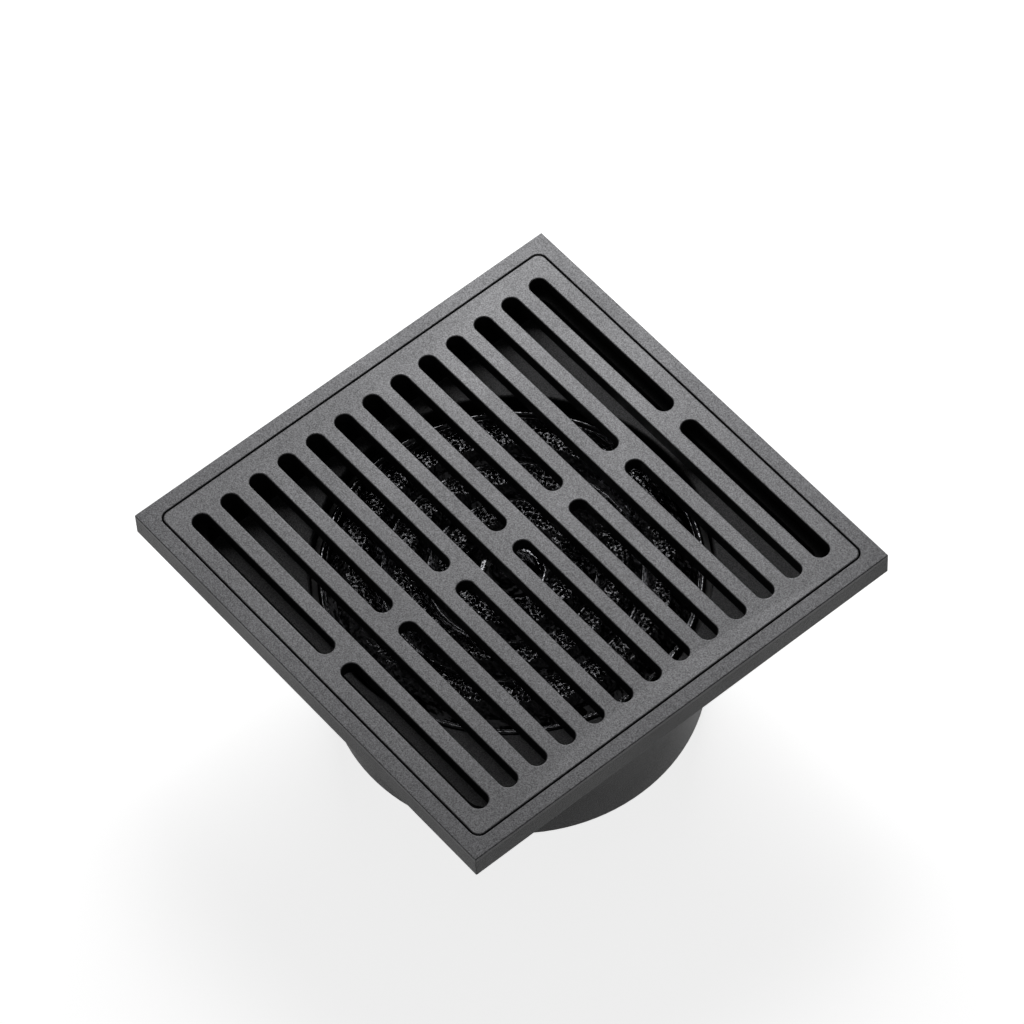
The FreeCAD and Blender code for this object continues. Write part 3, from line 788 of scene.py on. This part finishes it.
def valley_middles():
    """Radii of the valleys on the inner side of each raised ring."""
    foot = CREST_WIDTH / 2 + STRAINER_FLANK
    inner_feet = [crest + foot for crest in CREST_RADII[1:]] + [BOSS_RADIUS + STRAINER_FLANK]
    return [(crest - foot + inner) / 2 for crest, inner in zip(CREST_RADII, inner_feet)]


def close_seam(sheet, middle):
    """Joins the two open edges that meet at one valley."""
    def on_seam(start, end):
        radii = [math.hypot(point.x, point.y) for point in (start, end)]
        near = all(abs(abs(radius - middle) - SEAM_GAP) < SEAM_REACH for radius in radii)
        return near and abs(radii[0] - radii[1]) < SEAM_GAP / 2

    edit_edges(sheet, on_seam)
    bpy.ops.mesh.bridge_edge_loops()
    leave_edit()


def pierce_crests(sheet, top):
    """Makes every face of the crests and the boss an uneven hole."""
    def on_crest(spot):
        radius = math.hypot(spot.x, spot.y)
        on_ring = any(abs(radius - crest) < CREST_WIDTH / 2 for crest in CREST_RADII)
        on_boss = LIFTING_HOLE + CELL_WEB < radius < BOSS_RADIUS
        return spot.z > top - CREST_CUT and (on_ring or on_boss)

    edit_faces(sheet, on_crest)
    bpy.ops.transform.vertex_random(offset=CELL_DRIFT, uniform=1, normal=0, seed=DRIFT_SEED)
    bpy.ops.mesh.inset(thickness=CELL_WEB, use_individual=True)
    bpy.ops.mesh.delete(type="FACE")
    bpy.ops.mesh.select_all(action="SELECT")
    bpy.ops.mesh.normals_make_consistent(inside=False)
    leave_edit()


def on_rim(point, valley):
    """Whether a point is on the upper half of the rolled rim."""
    return point.z > valley + BEAD_RADIUS and point.xy.length > STRAINER_RIM - BEAD_RADIUS - SEAM_GAP


def on_boss_foot(point, valley):
    """Whether a point is on the upper skin round the foot of the boss."""
    return point.z > valley + SEAM_GAP and BOSS_RADIUS + SEAM_GAP < point.xy.length < BOSS_FOOT


def name_zone(piece, zone, wanted):
    """Keeps the points that pass the test as a zone of the piece."""
    edit_points(piece, wanted)
    bpy.ops.object.vertex_group_assign_new()
    leave_edit()
    piece.vertex_groups[-1].name = zone


def hammer(piece, zone, name, size, depth, direction):
    """Moves the skin of one zone to and fro by small random dents of a given size."""
    marks = bpy.data.textures.new(name, "CLOUDS")
    marks.noise_scale = size
    marks.noise_depth = 1
    apply_modifier(
        piece, "DISPLACE", texture=marks, texture_coords="GLOBAL",
        strength=depth, mid_level=NOISE_MIDDLE, direction=direction, vertex_group=zone,
    )


def make_strainer():
    """The pressed strainer: sheet spun into rings, its crests pierced all over and hammered."""
    low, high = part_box("strainer")
    valley = low.z + STRAINER_SHEET / 2
    top = high.z - STRAINER_SHEET / 2
    middles = valley_middles()
    zones = []
    outer = STRAINER_RIM - FLANGE_WIDTH - SEAM_GAP
    for crest, middle in zip(CREST_RADII, middles):
        line = crest_profile(crest, valley, top, outer, middle + SEAM_GAP)
        if not zones:
            line = bead_profile(valley) + line
        zones.append(spin_profile("crest_zone", line, round(2 * math.pi * crest / CELL)))
        outer = middle - SEAM_GAP
    zones.append(spin_profile("boss_zone", boss_profile(valley, top, outer), BOSS_CELLS))
    sheet = join_pieces(zones[0], zones[1:])
    sheet.name = "strainer_sheet"
    for middle in middles:
        close_seam(sheet, middle)
    pierce_crests(sheet, top)

    apply_modifier(sheet, "SOLIDIFY", thickness=STRAINER_SHEET * SHEET_SHARE, offset=0)
    apply_modifier(sheet, "SUBSURF", levels=1, render_levels=1)
    name_zone(sheet, "crests", lambda point: point.z > top - STRAINER_SHEET)
    name_zone(sheet, "rim_and_foot", lambda point: on_rim(point, valley) or on_boss_foot(point, valley))
    hammer(sheet, "crests", "hammer_marks", HAMMER_SIZE, HAMMER_DEPTH, "Z")
    hammer(sheet, "crests", "pressing_drift", DRIFT_SIZE, DRIFT_REACH, "X")
    hammer(sheet, "crests", "pressing_drift", DRIFT_SIZE, DRIFT_REACH, "Y")
    hammer(sheet, "rim_and_foot", "rim_marks", RIM_MARK_SIZE, RIM_MARK_DEPTH, "Z")
    select_only(sheet)
    bpy.ops.object.shade_smooth()
    return sheet


def make_spring():
    """The return spring: a round wire section screwed up its axis."""
    low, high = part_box("return_spring")
    bpy.ops.object.select_all(action="DESELECT")
    bpy.ops.mesh.primitive_circle_add(
        vertices=WIRE_SIDES, radius=SPRING_WIRE, fill_type="NGON",
        location=(SPRING_RADIUS, 0, low.z + SPRING_WIRE), rotation=(math.pi / 2, 0, 0),
    )
    spring = bpy.context.object
    spring.name = "spring_wire"
    bpy.ops.object.transform_apply(location=True, rotation=True, scale=True)
    rise = high.z - low.z - 2 * SPRING_WIRE
    steps = round(SPRING_STEPS * SPRING_TURNS)
    apply_modifier(
        spring, "SCREW", axis="Z", angle=2 * math.pi * SPRING_TURNS, screw_offset=rise,
        steps=steps, render_steps=steps, use_merge_vertices=True,
    )
    edit_all(spring)
    bpy.ops.mesh.remove_doubles(threshold=MERGE_REACH)
    bpy.ops.mesh.normals_make_consistent(inside=False)
    leave_edit()
    bpy.ops.object.shade_smooth()
    return spring


# Stage


def make_camera():
    """The camera at the photograph's angle, rolled a little as the photograph is."""
    aim = Vector((-CAMERA_AIM_SHIFT, CAMERA_AIM_SHIFT, cad_box[1].z))
    back = Vector((
        math.sin(CAMERA_AZIMUTH) * math.cos(CAMERA_ELEVATION),
        -math.cos(CAMERA_AZIMUTH) * math.cos(CAMERA_ELEVATION),
        math.sin(CAMERA_ELEVATION),
    ))
    bpy.ops.object.camera_add(location=aim + back * CAMERA_DISTANCE)
    camera = bpy.context.object
    camera.name = "photo_camera"
    camera.data.lens = CAMERA_LENS
    camera.data.sensor_width = CAMERA_SENSOR
    camera.data.clip_start = CAMERA_NEAR
    camera.data.clip_end = CAMERA_FAR
    turn = (-back).to_track_quat("-Z", "Y").to_matrix() @ Matrix.Rotation(CAMERA_ROLL, 3, "Z")
    camera.rotation_euler = turn.to_euler()
    bpy.context.scene.camera = camera


def make_floor():
    """A wide pale floor that shows white to the camera and keeps the shadow."""
    bpy.ops.object.select_all(action="DESELECT")
    bpy.ops.mesh.primitive_plane_add(size=FLOOR_SIZE, location=(0, 0, cad_box[0].z))
    floor = bpy.context.object
    floor.name = "studio_floor"
    material = bpy.data.materials.new("studio_floor")
    material.use_nodes = True
    tree = material.node_tree
    tree.nodes.clear()
    paper = add_node(tree, "BsdfDiffuse", {"Color": FLOOR_PAPER}).outputs[0]
    path = add_node(tree, "LightPath").outputs
    seen = add_math(tree, "MAXIMUM", path["Is Camera Ray"], path["Is Glossy Ray"])
    lift = add_math(tree, "MULTIPLY", seen, FLOOR_LIFT)
    glow = add_node(tree, "Emission", {"Color": WHITE, "Strength": lift}).outputs[0]
    both = add_node(tree, "AddShader", {0: paper, 1: glow}).outputs[0]
    add_node(tree, "OutputMaterial", {"Surface": both})
    floor.data.materials.append(material)


def make_lights():
    """Soft studio light: an even sky that is white to the camera, and one large lamp from behind."""
    world = bpy.data.worlds.new("studio_sky")
    bpy.context.scene.world = world
    world.use_nodes = True
    tree = world.node_tree
    path = add_node(tree, "LightPath").outputs
    white = add_math(tree, "MULTIPLY", path["Is Camera Ray"], 1 - SKY)
    strength = add_math(tree, "ADD", white, SKY)
    fill_inputs(tree, tree.nodes["Background"], {"Color": WHITE, "Strength": strength})

    bpy.ops.object.light_add(type="AREA", location=KEY_PLACE)
    lamp = bpy.context.object
    lamp.name = "key_lamp"
    lamp.data.size = KEY_SIZE
    lamp.data.energy = KEY_POWER
    lamp.rotation_euler = (Vector((0, 0, cad_box[1].z)) - KEY_PLACE).to_track_quat("-Z", "Y").to_euler()


def build():
    """Every piece, finished and put on its body."""
    put(make_cover(), "cover_grate", make_cover_metal())
    put(make_casting(), "drain_body", make_frame_metal())
    put(make_strainer(), "strainer", make_strainer_steel())
    spring = make_spring()
    spring_steel = make_turned_metal("spring_steel", SPRING_GREY, SPRING_ROUGHNESS)
    put(spring, "return_spring", spring_steel)
    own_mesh(spring)

    stem_steel = make_turned_metal("stem_steel", STEM_GREY, STEM_ROUGHNESS)
    dress(stem_steel, "plunger_stem", "clamp_washer", "cap_clip")
    dress(make_moulded("core_plastic", CORE_GREY, PLASTIC_ROUGHNESS), "core_body")
    dress(make_moulded("seal_rubber", SEAL_GREY, RUBBER_ROUGHNESS), "core_seal")
    dress(make_moulded("disc_silicone", SILICONE_GREY, SILICONE_ROUGHNESS, SILICONE_BLUE), "disc_seal")
    dress(make_moulded("disc_plastic", DISC_GREY, PLASTIC_ROUGHNESS), "plunger_disc", "disc_nut")
    dress(make_moulded("cap_plastic", CAP_GREY, PLASTIC_ROUGHNESS), "stem_cap")


build()
make_floor()
make_lights()
make_camera()

bpy.context.scene.view_settings.view_transform = "Standard"
